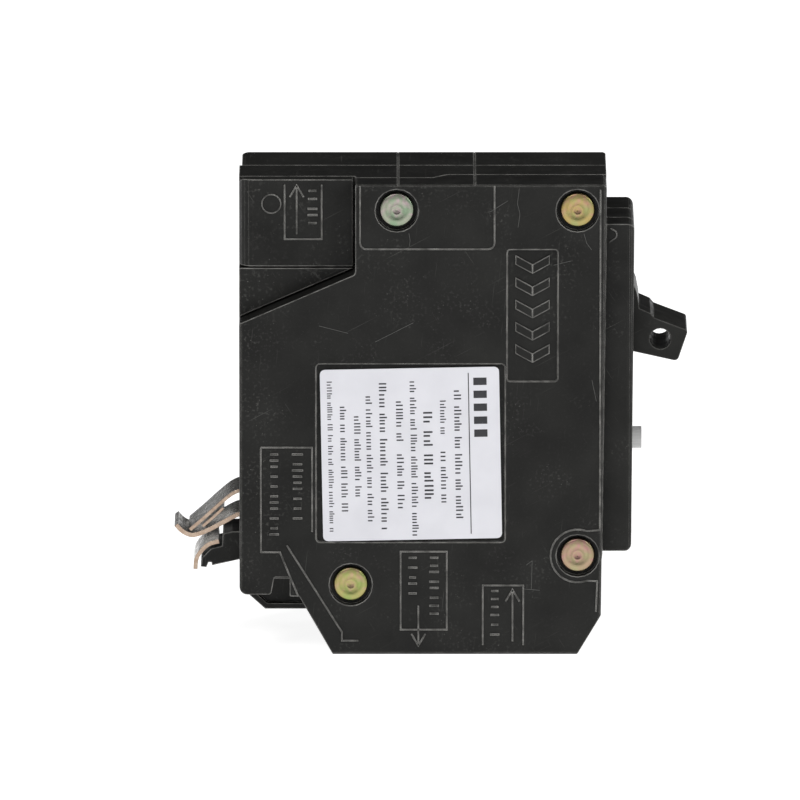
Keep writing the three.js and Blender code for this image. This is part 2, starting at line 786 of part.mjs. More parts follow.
// ---- Arc chute ----
function arcCarrier() {
  const [x0, x1, y0, y1, thick] = [3, 13, 0.6, 10, 0.8];
  const corners = [
    [x0, y0],
    [x1, y0],
    [x1, y0 + thick],
    [x0 + thick, y0 + thick],
    [x0 + thick, y1 - thick],
    [x1, y1 - thick],
    [x1, y1],
    [x0, y1],
  ];
  return plateZ(corners, 44, 59);
}

function arcPlate(z) {
  const corners = [
    [4.2, 1.8],
    [13.2, 1.8],
    [9.5, 4.4],
    [9.5, 6.2],
    [13.2, 8.8],
    [4.2, 8.8],
  ];
  return plateZ(corners, z, z + 1);
}

add("arc_chute_carrier", "fibre", arcCarrier());
for (let i = 0; i < 4; i += 1) add(`arc_plate_${i + 1}`, "steel", arcPlate(46 + 3.5 * i));

// ---- Load-end terminals ----
function lugFrame(y) {
  const frame = box(36.5, 49.5, y - 3.5, y + 3.5, 3.5, 14.3);
  return cut(frame, box(38, 46.5, y - 2.4, y + 2.4, 3, 15), rodX(y, SCREW_Z, 1.9, 46, 50));
}

function terminalScrew(y) {
  const slot = box(54.1, 55, y - 0.4, y + 0.4, 0, 20);
  return cut(join(rodX(y, SCREW_Z, 1.75, 46.7, 53), rodX(y, SCREW_Z, 2.7, 52.6, 54.8)), slot);
}

const terminals = [
  ["load", TERMINAL_Y],
  ["neutral", -TERMINAL_Y],
];
for (const [side, y] of terminals) {
  add(`${side}_lug`, "tin", lugFrame(y));
  add(`${side}_clamp_plate`, "steel", box(45, 46.3, y - 2.1, y + 2.1, 3.8, 14));
  add(`${side}_terminal_screw`, "zinc", terminalScrew(y));
}

// ---- Electronics ----
function toroid(y0, y1) {
  const { x, z, r, hole } = TOROID;
  return cut(rodY(x, z, r, y0, y1), rodY(x, z, hole, y0 - 1, y1 + 1));
}

function solenoidFrame() {
  const { y, z } = SOLENOID;
  const plates = [
    box(3.4, 4.4, y - 3.4, y + 3.4, z - 4.8, z + 3.6),
    box(14, 15, y - 3.4, y + 3.4, z - 4.8, z + 3.6),
    box(3.4, 15, y - 3.4, y + 3.4, z - 4.8, z - 3.8),
  ];
  return cut(join(...plates), rodX(y, z, 1.6, 10, 16));
}

function tripLink() {
  const { y, z } = SOLENOID;
  return join(box(17.7, 20.2, y - 1, 0.2, z - 1, z + 1), box(19.2, 20.2, -1, 2.0, z - 1, z + 1));
}

function thyristor() {
  return cut(rodZ(40.5, -5.7, 2.3, 24, 28.5), box(37, 44, -4.6, -2, 23, 30));
}

const loadConductorPath = [
  [24.9, 3.1, 8.9],
  [27.4, 1.2, 7],
  [28.4, -4.4, 8.2],
  [30.0, -9.2, 14],
  [31, -9.4, 32],
  [33, -9.4, 52],
  [34.6, -9.3, 62],
  [34.8, -7.5, 65.6],
  [34.8, -2, 65.5],
  [34.5, 3, 65],
  [33.5, 9.0, 60],
  [33, 9.0, 40],
  [33, 9.0, 20],
  [35.6, 7.2, 10],
];
const neutralConductorPath = [
  [35.6, -7.4, 10],
  [35.3, -9.3, 17],
  [36.2, -9.4, 36],
  [37.2, -9.4, 52],
  [37.4, -9.3, 62],
  [37.2, -7.5, 65.6],
  [37.2, -2, 65.5],
  [36.5, 3, 65.8],
  [30, 9.0, 64],
  [26.8, 9.0, 50],
  [26.5, 9.0, 32],
  [15, 9.0, 22.5],
  [8.4, 6.5, 22],
];

add("current_toroid", "ferrite", toroid(-5.1, -2.1));
add("neutral_toroid", "ferrite", toroid(-8.4, -5.4));
add("load_conductor", "blackWire", wire(loadConductorPath, 0.6, 90));
add("neutral_conductor", "insulation", wire(neutralConductorPath, 0.6, 80));
add("circuit_board", "board", box(21.4, 49.4, -2.9, -1.7, 18, 41));
add("solenoid_frame", "steel", solenoidFrame());
const coilBody = rodX(SOLENOID.y, SOLENOID.z, 3.2, 4.8, 13.6);
add("solenoid_coil", "winding", cut(coilBody, rodX(SOLENOID.y, SOLENOID.z, 1.6, 4, 14)));
add("solenoid_plunger", "steel", rodX(SOLENOID.y, SOLENOID.z, 1.25, 6.4, 17.4));
add("trip_link", "steel", tripLink());
add("control_chip", "chip", box(24, 32.5, -5.2, -3.2, 25, 30));
add("electrolytic_capacitor", "varistor", rodZ(26, -6.1, 2.5, 31.5, 39.5));
add("film_capacitor", "film", box(31.5, 37, -8.2, -3.2, 32.5, 39.5));
add("surge_varistor", "varistor", rodY(43.2, 35, 4, -6, -3.2));
add("thyristor", "chip", thyristor());
add("bridge_rectifier", "chip", box(43, 48, -6, -3.2, 22, 27));
add("resistor", "film", rodZ(36.5, -4.6, 1.1, 20, 27));

// The part's origin is the middle of the bottom of its bounding box.
const bounds = new THREE.Box3().setFromObject(breaker);
breaker.position.x = -(bounds.min.x + bounds.max.x) / 2;

export default breaker;
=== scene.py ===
"""A plug-on-neutral ground-fault breaker on a pale floor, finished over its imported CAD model."""

import json
import math
import random

import bmesh
import bpy
from mathutils import Matrix, Vector


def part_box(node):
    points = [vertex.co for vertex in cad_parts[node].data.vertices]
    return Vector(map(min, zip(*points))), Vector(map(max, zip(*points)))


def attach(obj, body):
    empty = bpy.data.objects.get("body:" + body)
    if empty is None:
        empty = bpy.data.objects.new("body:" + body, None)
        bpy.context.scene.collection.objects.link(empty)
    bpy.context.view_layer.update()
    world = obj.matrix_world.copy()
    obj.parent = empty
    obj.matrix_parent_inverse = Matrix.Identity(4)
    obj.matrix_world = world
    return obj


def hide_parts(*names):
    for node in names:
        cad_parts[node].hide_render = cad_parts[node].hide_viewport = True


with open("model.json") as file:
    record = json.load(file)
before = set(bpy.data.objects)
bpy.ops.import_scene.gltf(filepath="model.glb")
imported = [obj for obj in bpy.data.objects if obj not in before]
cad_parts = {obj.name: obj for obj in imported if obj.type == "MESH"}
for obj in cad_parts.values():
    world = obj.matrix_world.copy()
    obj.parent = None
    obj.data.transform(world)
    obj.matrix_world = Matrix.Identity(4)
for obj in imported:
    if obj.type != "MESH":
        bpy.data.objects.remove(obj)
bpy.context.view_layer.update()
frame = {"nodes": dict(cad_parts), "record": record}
chance = random.Random(7)

MM = 0.001
NODES = frame["nodes"]

# ---- Places, from the frame ----
COVER_LOW = Vector(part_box("electronics_cover")[0])
BACK_X = COVER_LOW.x
LOAD_END_Z = COVER_LOW.z
NEAR_Y = COVER_LOW.y
BLOCK_Y = Vector(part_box("line_end_block")[0]).y


def on_case(x, z, y=NEAR_Y):
    """A point x mm from the back wall and z mm above the load end, at depth y in metres."""
    return Vector((BACK_X + x * MM, y, LOAD_END_Z + z * MM))


def middle(node):
    low, high = (Vector(corner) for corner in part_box(node))
    return (low + high) / 2


# ---- Materials ----
BEVEL_SAMPLES = 6
# Pale colour for dust, scratches and worn edges, and also for the painted highlight along the edges.
PALE_WEAR_AND_HIGHLIGHT = (0.27, 0.265, 0.25)


class Finish:
    """A material being built: it adds shader nodes and joins them up."""

    def __init__(self, name, colour, roughness, metallic=0.0, specular=0.5):
        self.material = bpy.data.materials.new(name)
        self.material.use_nodes = True
        self.tree = self.material.node_tree
        self.shader = self.tree.nodes["Principled BSDF"]
        self.shader.inputs["Base Color"].default_value = (*colour, 1)
        self.shader.inputs["Roughness"].default_value = roughness
        self.shader.inputs["Metallic"].default_value = metallic
        self.shader.inputs["Specular IOR Level"].default_value = specular
        self.place = self.add("ShaderNodeTexCoord").outputs["Object"]

    def add(self, kind, inputs=None, **settings):
        made = self.tree.nodes.new(kind)
        for key, value in settings.items():
            setattr(made, key, value)
        for key, value in (inputs or {}).items():
            self.join(value, made.inputs[key])
        return made

    def join(self, value, socket):
        if isinstance(value, bpy.types.NodeSocket):
            self.tree.links.new(value, socket)
        else:
            socket.default_value = value

    def noise(self, size_mm, detail=3.0, place=None):
        """Cloudy noise from 0 to 1 whose blotches are about size_mm across."""
        inputs = {"Vector": place or self.place, "Scale": 1 / (size_mm * MM), "Detail": detail}
        return self.add("ShaderNodeTexNoise", inputs).outputs["Fac"]

    def stretched(self, size_mm, turn=(0, 0, 0)):
        """Coordinates in blotches of size_mm = (x, y, z), after a turn in degrees."""
        turned = self.add(
            "ShaderNodeMapping",
            {"Vector": self.place, "Rotation": [math.radians(angle) for angle in turn]},
        ).outputs["Vector"]
        scale = [1 / (size * MM) for size in size_mm]
        return self.add("ShaderNodeMapping", {"Vector": turned, "Scale": scale}).outputs["Vector"]

    def between(self, value, low, high, start=0.0, end=1.0):
        """value mapped from low..high to start..end, and held there outside it."""
        inputs = {"Value": value, "From Min": low, "From Max": high, "To Min": start, "To Max": end}
        return self.add("ShaderNodeMapRange", inputs).outputs["Result"]

    def maths(self, operation, first, second=0.0):
        made = self.add("ShaderNodeMath", operation=operation)
        self.join(first, made.inputs[0])
        self.join(second, made.inputs[1])
        return made.outputs[0]

    def mix(self, factor, first, second):
        made = self.add("ShaderNodeMix", data_type="RGBA")
        self.join(factor, made.inputs["Factor"])
        for value, socket in ((first, made.inputs[6]), (second, made.inputs[7])):
            self.join(value if isinstance(value, bpy.types.NodeSocket) else (*value, 1), socket)
        return made.outputs[2]

    def scratches(self, turn, length_mm, width_mm, threshold):
        """Thin straight scratches at turn degrees across the case: the peaks of strongly stretched noise."""
        place = self.stretched((length_mm, length_mm, width_mm), (0, turn, 0))
        streak = self.add("ShaderNodeTexNoise", {"Vector": place, "Scale": 1.0, "Detail": 1.0}).outputs["Fac"]
        return self.between(streak, threshold, threshold + 0.08)

    def specks(self, cell_mm, radius, share):
        """Dust specks: small dots at the middles of some random cells."""
        cells = self.add("ShaderNodeTexVoronoi", {"Vector": self.place, "Scale": 1 / (cell_mm * MM)})
        dot = self.between(cells.outputs["Distance"], radius, radius * 0.5)
        draw = self.add("ShaderNodeSeparateColor", {"Color": cells.outputs["Color"]}).outputs[0]
        chosen = self.between(draw, 1 - share, 1.02 - share)
        return self.maths("MULTIPLY", dot, chosen)

    def edges(self, radius_mm, low, high):
        """1 along convex and concave edges, 0 on open faces."""
        rounded = self.add("ShaderNodeBevel", {"Radius": radius_mm * MM}, samples=BEVEL_SAMPLES)
        true = self.add("ShaderNodeNewGeometry").outputs["Normal"]
        facing = self.add("ShaderNodeVectorMath", operation="DOT_PRODUCT")
        self.join(rounded.outputs["Normal"], facing.inputs[0])
        self.join(true, facing.inputs[1])
        return self.between(self.maths("SUBTRACT", 1.0, facing.outputs["Value"]), low, high)

    def bump(self, height, distance_mm, strength=1.0, soften_mm=None):
        inputs = {"Height": height, "Distance": distance_mm * MM, "Strength": strength}
        if soften_mm:
            rounded = self.add("ShaderNodeBevel", {"Radius": soften_mm * MM}, samples=BEVEL_SAMPLES)
            inputs["Normal"] = rounded.outputs["Normal"]
        self.join(self.add("ShaderNodeBump", inputs).outputs["Normal"], self.shader.inputs["Normal"])

    def colour(self, value):
        self.join(value, self.shader.inputs["Base Color"])

    def roughness(self, value):
        self.join(value, self.shader.inputs["Roughness"])


def black_moulding(name, base, pale_marks_amount, gloss):
    """Black phenolic: fine grain, scratches, pale edges that are partly edge wear and partly a painted
    highlight, and dust towards the back of the near face.
    """
    finish = Finish(name, base, gloss, specular=0.16)
    cloudy = finish.noise(9.0, 4.0)
    worn_base = finish.mix(finish.between(cloudy, 0.35, 0.7), base, [c * 1.7 for c in base])
    rising = finish.scratches(28, 11, 0.13, 0.74)
    falling = finish.scratches(-57, 6, 0.12, 0.75)
    marks = finish.maths("MAXIMUM", rising, falling)
    marks = finish.maths("MAXIMUM", marks, finish.scratches(84, 8, 0.12, 0.76))
    position = finish.add("ShaderNodeSeparateXYZ", {"Vector": finish.place}).outputs
    near_back = finish.between(position["X"], BACK_X + 9 * MM, BACK_X + 1 * MM, 0.0, 1.3)
    label_side = finish.between(position["Y"], NEAR_Y + 5 * MM, NEAR_Y + 4 * MM)
    near_back = finish.maths("MULTIPLY", near_back, label_side)
    dusty = finish.between(finish.noise(5.0, 4.0), 0.5, 0.78, 0.08, 1.0)
    patchy = finish.between(finish.noise(3.5, 4.0), 0.4, 0.7, 0.15, 1.0)
    dusty = finish.maths("MAXIMUM", dusty, finish.maths("MULTIPLY", near_back, patchy))
    dust = finish.maths("MAXIMUM", finish.specks(1.1, 0.09, 0.3), finish.specks(0.45, 0.15, 0.2))
    rubbed = finish.between(finish.noise(0.5, 6.0), 0.54, 0.82)
    rub = finish.maths("MULTIPLY", rubbed, finish.maths("MULTIPLY", dusty, 0.4))
    # Pale along convex and concave edges: partly edge wear, partly a painted highlight standing in for light
    # on rounded edges; noise breaks it up.
    edge_breakup = finish.between(finish.noise(1.6, 4.0), 0.3, 0.62, 0.3)
    edge = finish.maths("MULTIPLY", finish.edges(0.3, 0.003, 0.06), edge_breakup)
    faint_marks = finish.maths("MULTIPLY", marks, 0.3)
    pale = finish.maths("MAXIMUM", faint_marks, finish.maths("MULTIPLY", dust, dusty))
    pale = finish.maths("MULTIPLY", finish.maths("MAXIMUM", pale, rub), 0.7)
    pale = finish.maths("MULTIPLY", finish.maths("MAXIMUM", pale, edge), pale_marks_amount)
    finish.colour(finish.mix(pale, worn_base, PALE_WEAR_AND_HIGHLIGHT))
    finish.roughness(finish.between(finish.noise(3.0, 5.0), 0.3, 0.75, gloss - 0.08, gloss + 0.14))
    finish.bump(finish.noise(0.35, 3.0), 0.01, 0.5, soften_mm=0.12)
    return finish.material


def plated_steel(name, base, tints, metallic=1.0):
    """Zinc or tin plate with soft colour clouds and faint turning marks around the piece's own Y axis."""
    finish = Finish(name, base, 0.34, metallic)
    shade = finish.mix(finish.between(finish.noise(1.6, 3.0), 0.35, 0.65), base, tints[0])
    shade = finish.mix(finish.between(finish.noise(0.9, 2.0), 0.5, 0.7), shade, tints[1])
    finish.colour(shade)
    rings = finish.add(
        "ShaderNodeTexWave",
        {"Vector": finish.place, "Scale": 1 / (2.2 * MM), "Distortion": 0.4},
        wave_type="RINGS",
        rings_direction="Y",
    ).outputs["Fac"]
    finish.roughness(finish.between(rings, 0, 1, 0.28, 0.44))
    finish.bump(finish.maths("ADD", rings, finish.noise(0.3, 3.0)), 0.02, 0.6)
    return finish.material


def bent_strip(name):
    """Tin-plated spring strip: bright faces with rolling lines and tan sheared edges."""
    finish = Finish(name, (0.62, 0.6, 0.57), 0.25, 1.0)
    true = finish.add("ShaderNodeNewGeometry").outputs["Normal"]
    normal = finish.add("ShaderNodeSeparateXYZ", {"Vector": true})
    sheared = finish.between(finish.maths("ABSOLUTE", normal.outputs["Y"]), 0.5, 0.8)
    rolling = finish.noise(1.0, 2.0, finish.stretched((14, 0.35, 14)))
    lines = finish.between(rolling, 0.3, 0.7)
    face = finish.mix(lines, (0.78, 0.77, 0.75), (0.34, 0.32, 0.3))
    edge = finish.mix(finish.noise(0.5, 3.0), (0.3, 0.2, 0.14), (0.56, 0.45, 0.36))
    finish.colour(finish.mix(sheared, face, edge))
    finish.roughness(finish.between(finish.noise(0.8, 3.0), 0.3, 0.7, 0.2, 0.4))
    finish.bump(rolling, 0.01, 0.4, soften_mm=0.08)
    return finish.material


def plain(name, base, roughness, metallic=0.0, grain_mm=0.4, tint=0.7):
    """A fine-grained single-colour surface with slight shade changes."""
    finish = Finish(name, base, roughness, metallic)
    finish.colour(finish.mix(finish.noise(grain_mm * 6, 3.0), base, [c * tint for c in base]))
    clouds = finish.noise(grain_mm * 3, 3.0)
    finish.roughness(finish.between(clouds, 0.3, 0.7, roughness - 0.05, roughness + 0.08))
    finish.bump(finish.noise(grain_mm, 3.0), 0.01, 0.5, soften_mm=0.08)
    return finish.material


def paper(name):
    """Slightly blue white label stock, a little darker in soft patches."""
    finish = Finish(name, (0.7, 0.7, 0.74), 0.6, specular=0.3)
    patches = finish.between(finish.noise(6, 5.0), 0.4, 0.75)
    finish.colour(finish.mix(patches, (0.71, 0.71, 0.75), (0.66, 0.66, 0.7)))
    finish.bump(finish.noise(0.25, 4.0), 0.008, 0.5)
    return finish.material


BLACK = black_moulding("black_moulding", (0.0095, 0.0095, 0.0088), 1.0, 0.42)
HANDLE_BLACK = black_moulding("handle_black", (0.0095, 0.0095, 0.0086), 0.35, 0.36)
ZINC_YELLOW = plated_steel("zinc_yellow", (0.42, 0.31, 0.12), ((0.34, 0.34, 0.14), (0.46, 0.28, 0.18)))
ZINC_GREEN = plated_steel("zinc_green", (0.33, 0.34, 0.27), ((0.24, 0.33, 0.22), (0.42, 0.34, 0.34)))
ZINC_PINK = plated_steel("zinc_pink", (0.4, 0.28, 0.19), ((0.36, 0.32, 0.18), (0.44, 0.24, 0.22)))
ZINC_LIME = plated_steel("zinc_lime", (0.4, 0.35, 0.14), ((0.3, 0.36, 0.12), (0.46, 0.32, 0.2)))
TIN = bent_strip("tin_strip")
SURFACES = {
    "phenolic": BLACK,
    "handle": HANDLE_BLACK,
    "button": plain("button_white", (0.68, 0.68, 0.67), 0.32, tint=0.94),
    "paper": paper("label_paper"),
    "zinc": ZINC_YELLOW,
    "tin": TIN,
    "copper": plain("copper", (0.62, 0.27, 0.15), 0.3, 1.0),
    "silver": plain("silver", (0.72, 0.71, 0.69), 0.3, 1.0),
    "steel": plain("steel", (0.42, 0.43, 0.44), 0.36, 1.0),
    "fibre": plain("red_fibre", (0.2, 0.05, 0.028), 0.75),
    "winding": plain("coil_enamel", (0.42, 0.12, 0.04), 0.3, 0.5, grain_mm=0.2),
    "ferrite": plain("ferrite", (0.03, 0.03, 0.029), 0.6),
    "board": plain("solder_mask", (0.02, 0.1, 0.03), 0.35),
    "chip": plain("chip_black", (0.012, 0.012, 0.012), 0.45),
    "film": plain("ochre_dip", (0.48, 0.26, 0.04), 0.35),
    "varistor": plain("blue_dip", (0.02, 0.11, 0.32), 0.35),
    "insulation": plain("white_insulation", (0.7, 0.69, 0.65), 0.4),
    "blackWire": plain("black_insulation", (0.014, 0.014, 0.014), 0.4),
}
WORN = plain("scratched_through", (0.1, 0.1, 0.095), 0.7)
RIVET_FINISH = {
    "rivet_line_back": ZINC_GREEN,
    "rivet_line_front": ZINC_YELLOW,
    "rivet_load_front": ZINC_PINK,
    "rivet_load_back": ZINC_LIME,
}

slot_of = {entry["node"]: entry["material_slot"] for entry in frame["record"]["subparts"]}
for node_name, node in NODES.items():
    for material_slot in node.material_slots:
        material_slot.material = SURFACES[slot_of[node_name]]


# ---- Mesh helpers ----
def piece(name, mesh, material, body="case", place=None):
    made = bpy.data.objects.new(name, mesh)
    made.data.materials.append(material)
    bpy.context.scene.collection.objects.link(made)
    if place is not None:
        made.location = place
    bpy.context.view_layer.update()
    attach(made, body)
    return made


def lathe(name, profile, segments=48):
    """A mesh turned about the Y axis from (radius, y) points in mm."""
    grid = bmesh.new()
    ring_points = []
    for radius, y in profile:
        ring = []
        for k in range(segments if radius > 0 else 1):
            angle = 2 * math.pi * k / segments
            across = radius * MM
            ring.append(grid.verts.new((across * math.cos(angle), y * MM, across * math.sin(angle))))
        ring_points.append(ring)
    for first, second in zip(ring_points, ring_points[1:]):
        for k in range(segments):
            corners = [first[k % len(first)], first[(k + 1) % len(first)],
                       second[(k + 1) % len(second)], second[k % len(second)]]
            grid.faces.new(list(dict.fromkeys(corners)))
    bmesh.ops.recalc_face_normals(grid, faces=grid.faces)
    mesh = bpy.data.meshes.new(name)
    grid.to_mesh(mesh)
    grid.free()
    mesh.shade_smooth()
    return mesh


def prism(grid, outline, lift, bottom):
    """A prism from Y = lift to Y = bottom around an (x, z) outline, all in metres."""
    base = [grid.verts.new((x, bottom, z)) for x, z in outline]
    top = [grid.verts.new((x, lift, z)) for x, z in outline]
    grid.faces.new(top)
    grid.faces.new(list(reversed(base)))
    for k in range(len(outline)):
        grid.faces.new([base[k], base[(k + 1) % len(outline)], top[(k + 1) % len(outline)], top[k]])


def finish_mesh(name, grid):
    bmesh.ops.recalc_face_normals(grid, faces=grid.faces)
    mesh = bpy.data.meshes.new(name)
    grid.to_mesh(mesh)
    grid.free()
    return mesh


# ---- Rivets ----
def rivet(name):
    """A tubular rivet: a rolled head with a pit on each side, joined by its shank."""
    low, high = (Vector(corner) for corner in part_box(name))
    half = (high.y - low.y) / 2 / MM
    rim = (high.x - low.x) / 2 / MM
    pit = [(0, -half + 0.2), (0.4, -half + 0.17), (0.62, -half + 0.06), (0.85, -half + 0.04)]
    rolled = [(1.0, -half + 0.1), (1.2, -half + 0.03), (1.9, -half), (rim - 0.3, -half + 0.03)]
    side = [(rim - 0.1, -half + 0.14), (rim, -half + 0.4), (rim, -half + 0.8), (1.5, -half + 0.9)]
    head = pit + rolled + side
    profile = head + [(radius, -y) for radius, y in reversed(head)]
    turned = lathe(name, profile)
    made = piece(name + "_turned", turned, RIVET_FINISH[name], place=middle(name))
    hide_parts(name)


for rivet_name in RIVET_FINISH:
    rivet(rivet_name)


# ---- Raised marks on the case ----
LINE_WIDTH = 0.26
FINE_WIDTH = 0.2
LINE_LIFT = 0.12
BADGE_RECESS = 0.3
NOSE_NEAR_Y = NEAR_Y + 2.5 * MM


def raised_line(grid, points, face_y, width=LINE_WIDTH, lift=LINE_LIFT, closed=False):
    """A low rib of even width along points in mm on the case, mitred at its corners."""
    spots = [Vector((point.x, point.z)) for point in (on_case(x, z) for x, z in points)]
    rows = []
    for k, spot in enumerate(spots):
        before = spots[k - 1] if k or closed else spot
        after = spots[(k + 1) % len(spots)] if k + 1 < len(spots) or closed else spot
        arriving = (spot - before).normalized() if spot != before else (after - spot).normalized()
        leaving = (after - spot).normalized() if spot != after else arriving
        along = (arriving + leaving).normalized()
        side = Vector((-along.y, along.x)) * (width / 2 * MM / max(along.dot(arriving), 0.4))
        heights = ((side, 0.05), (side, -lift), (-side, -lift), (-side, 0.05))
        rows.append([grid.verts.new((spot.x + s.x, face_y + y * MM, spot.y + s.y)) for s, y in heights])
    pairs = list(zip(rows, rows[1:]))
    if closed:
        pairs.append((rows[-1], rows[0]))
    for first, second in pairs:
        for k in range(4):
            grid.faces.new([first[k], first[(k + 1) % 4], second[(k + 1) % 4], second[k]])
    if not closed:
        grid.faces.new(rows[0])
        grid.faces.new(rows[-1])


def arc(x, z, radius, start, end, steps=18):
    angles = [math.radians(start + (end - start) * k / steps) for k in range(steps + 1)]
    return [(x + radius * math.cos(a), z + radius * math.sin(a)) for a in angles]


def arrow(grid, x, z_tail, z_tip, face_y):
    point = 1.9 if z_tip > z_tail else -1.9
    raised_line(grid, [(x, z_tail), (x, z_tip)], face_y)
    raised_line(grid, [(x - 1.1, z_tip - point), (x, z_tip), (x + 1.1, z_tip - point)], face_y)


def tally(grid, x, z_top, z_bottom, height, face_y):
    """A column of short raised bars of uneven length."""
    z = z_top
    while z - 0.9 > z_bottom:
        reach = height * chance.uniform(0.6, 1.0)
        raised_line(grid, [(x - reach / 2, z), (x + reach / 2, z)], face_y, width=0.34)
        z -= chance.choice((1.0, 1.3, 1.6))


def case_marks():
    """The raised borders, arrows and bars. Places are mm from the back wall and mm above the load end."""
    grid = bmesh.new()
    near = NEAR_Y
    raised_line(grid, [(3.4, 33.7), (3.4, 16.7), (6.4, 16.7), (9.3, 9.5)], near)
    raised_line(grid, [(3.4, 33.7), (11.5, 33.7), (11.5, 20)], near)
    raised_line(grid, [(7.5, 17.8), (16.2, 3.7), (16.2, 2.3), (18.8, 2.3)], near)
    raised_line(grid, [(25.5, 16.8), (32.8, 16.8), (32.8, 4.1), (25.5, 4.1)], near, closed=True)
    raised_line(grid, [(38.5, 1.6), (38.5, 11.3), (44.9, 11.3), (44.9, 1.6)], near)
    raised_line(grid, [(19.1, 76), (19.1, 66.8), *arc(20.1, 66.8, 1, 180, 270, 5), (39.3, 65.8),
                       *arc(39.3, 66.8, 1, 270, 360, 5), (40.3, 76)], near)
    front_border = [(57.0, 75.4), (57.0, 20.3), *arc(53.5, 16.1, 4.3, 70, 290), (56.6, 12), (56.4, 7)]
    raised_line(grid, front_border, near)
    nose_hook = [(58.6, 68.6), *arc(58.8, 67.6, 0.8, 60, -60, 6), (58.4, 66.4)]
    raised_line(grid, nose_hook, NOSE_NEAR_Y, width=FINE_WIDTH)
    tally(grid, 5.5, 32.6, 18, 1.8, near)
    tally(grid, 9.2, 32.6, 21, 1.8, near)
    tally(grid, 27.4, 15.8, 8.5, 1.7, near)
    tally(grid, 30.8, 15.8, 5.2, 1.7, near)
    tally(grid, 40.4, 10.4, 2.4, 1.8, near)
    arrow(grid, 28.3, 8, 1.5, near)
    arrow(grid, 43.2, 2.2, 10.6, near)
    return grid


def block_marks():
    grid = bmesh.new()
    raised_line(grid, [(7.2, 75.4), (7.2, 66.6), (13.05, 66.6), (13.05, 75.4)], BLOCK_Y)
    arrow(grid, 9.1, 67.4, 75.3, BLOCK_Y)
    tally(grid, 11.6, 74.4, 67.4, 1.7, BLOCK_Y)
    raised_line(grid, arc(5.1, 72.3, 1.5, 0, 345, 23), BLOCK_Y, width=FINE_WIDTH, closed=True)
    return grid


def hairlines():
    """The few long scratches, as hairlines that barely stand off the face."""
    grid = bmesh.new()
    lines = (
        [(44.2, 75.6), (43.9, 73.2), (44.3, 71.4), (44.0, 69.3)],
        [(45.4, 14.6), (46.3, 15.3), (46.2, 10.7)],
        [(45.0, 10.7), (47.5, 10.5)],
        [(54.4, 68.3), (54.8, 66.8), (55.6, 65.7)],
        [(26.8, 68.4), (27.0, 67.2), (26.9, 66.3)],
        [(39.6, 71.8), (42.4, 73.6)],
        [(49.6, 63.2), (52.4, 63.9)],
        [(21.5, 50.8), (27.5, 53.9)],
        [(12.6, 53.4), (17.2, 52.2)],
        [(55.7, 44.6), (56.4, 41.2)],
    )
    for line in lines:
        raised_line(grid, line, NEAR_Y, width=0.07, lift=0.012)
    return grid


def badge():
    """Generic raised chevrons in the long recess beside the front edge."""
    grid = bmesh.new()
    recess_y = NEAR_Y + BADGE_RECESS * MM
    for k in range(5):
        z = 47.4 + 3.6 * k
        for side in (-1, 1):
            outline = [(46.3, z), (46.3, z + 1.5), (46.3 + side * 2.7, z + 3.0), (46.3 + side * 2.7, z + 1.5)]
            outline = outline if side > 0 else outline[::-1]
            corners = [on_case(x, height) for x, height in outline]
            prism(grid, [(c.x, c.z) for c in corners], recess_y - 0.22 * MM, recess_y + 0.05 * MM)
    return grid


piece("case_marks", finish_mesh("case_marks", case_marks()), BLACK)
piece("block_marks", finish_mesh("block_marks", block_marks()), BLACK)
piece("badge_relief", finish_mesh("badge_relief", badge()), BLACK)
piece("scratch_lines", finish_mesh("scratch_lines", hairlines()), WORN)


# ---- Tongues in the seams between the three slices of the case ----
TONGUE = 0.1
FAR_SEAM_Y = 1.9
NEAR_SEAM_BACK_Y = -7.3
NEAR_SEAM_FRONT_Y = -5.0
# The strip that a tongue fills beneath each outer wall: mm from the back wall for an upright wall,
# and mm above the load end for a level one.
TOP_STRIP = (75.2, 76.0)
BOTTOM_STRIP = (0.2, 0.9)
BACK_STRIP = (0.9, 1.4)
NOSE_STRIP = (61.4, 62.1)
SHOULDER_STRIP = (57.0, 57.7)
CHIN_STRIP = (56, 56.5)
SHOULDER_RISE = (69.6, 75)
# Each tongue is a span of X and a span of Z. The gaps between them are the openings of the case.
FAR_TONGUES = [
    ((2.4, 57), TOP_STRIP),
    ((16, 52.5), BOTTOM_STRIP),
    (BACK_STRIP, (28, 62.4)),
    (BACK_STRIP, (10.4, 12.4)),
    ((1.4, 12.6), (10.4, 10.9)),
    (NOSE_STRIP, (18, 30)),
    (NOSE_STRIP, (35, 45.5)),
    (NOSE_STRIP, (63, 67.4)),
    (CHIN_STRIP, (7.4, 16)),
    (SHOULDER_STRIP, SHOULDER_RISE),
]
NEAR_BACK_TONGUES = [
    ((19.6, 30), TOP_STRIP),
    ((16, 31), BOTTOM_STRIP),
    (BACK_STRIP, (27.6, 53)),
    (BACK_STRIP, (10.6, 13.0)),
    ((1.4, 5.0), (10.8, 11.3)),
    ((8.3, 13.5), (12.8, 13.3)),
]
NEAR_FRONT_TONGUES = [
    ((33.4, 57), TOP_STRIP),
    ((33.5, 52.5), BOTTOM_STRIP),
    (NOSE_STRIP, (18, 67.4)),
    (CHIN_STRIP, (12.6, 16)),
    (SHOULDER_STRIP, SHOULDER_RISE),
]


def tongue(grid, y, x_span, z_span):
    """A thin strip that stops light passing through a seam. Sizes in mm, y from the middle."""
    low = on_case(x_span[0], z_span[0], (y - TONGUE / 2) * MM)
    high = on_case(x_span[1], z_span[1], (y + TONGUE / 2) * MM)
    prism(grid, [(low.x, low.z), (high.x, low.z), (high.x, high.z), (low.x, high.z)], low.y, high.y)


def seam_tongues():
    grid = bmesh.new()
    for y, spans in (
        (FAR_SEAM_Y, FAR_TONGUES),
        (NEAR_SEAM_BACK_Y, NEAR_BACK_TONGUES),
        (NEAR_SEAM_FRONT_Y, NEAR_FRONT_TONGUES),
    ):
        for x_span, z_span in spans:
            tongue(grid, y, x_span, z_span)
    return grid


piece("seam_tongues", finish_mesh("seam_tongues", seam_tongues()), BLACK)

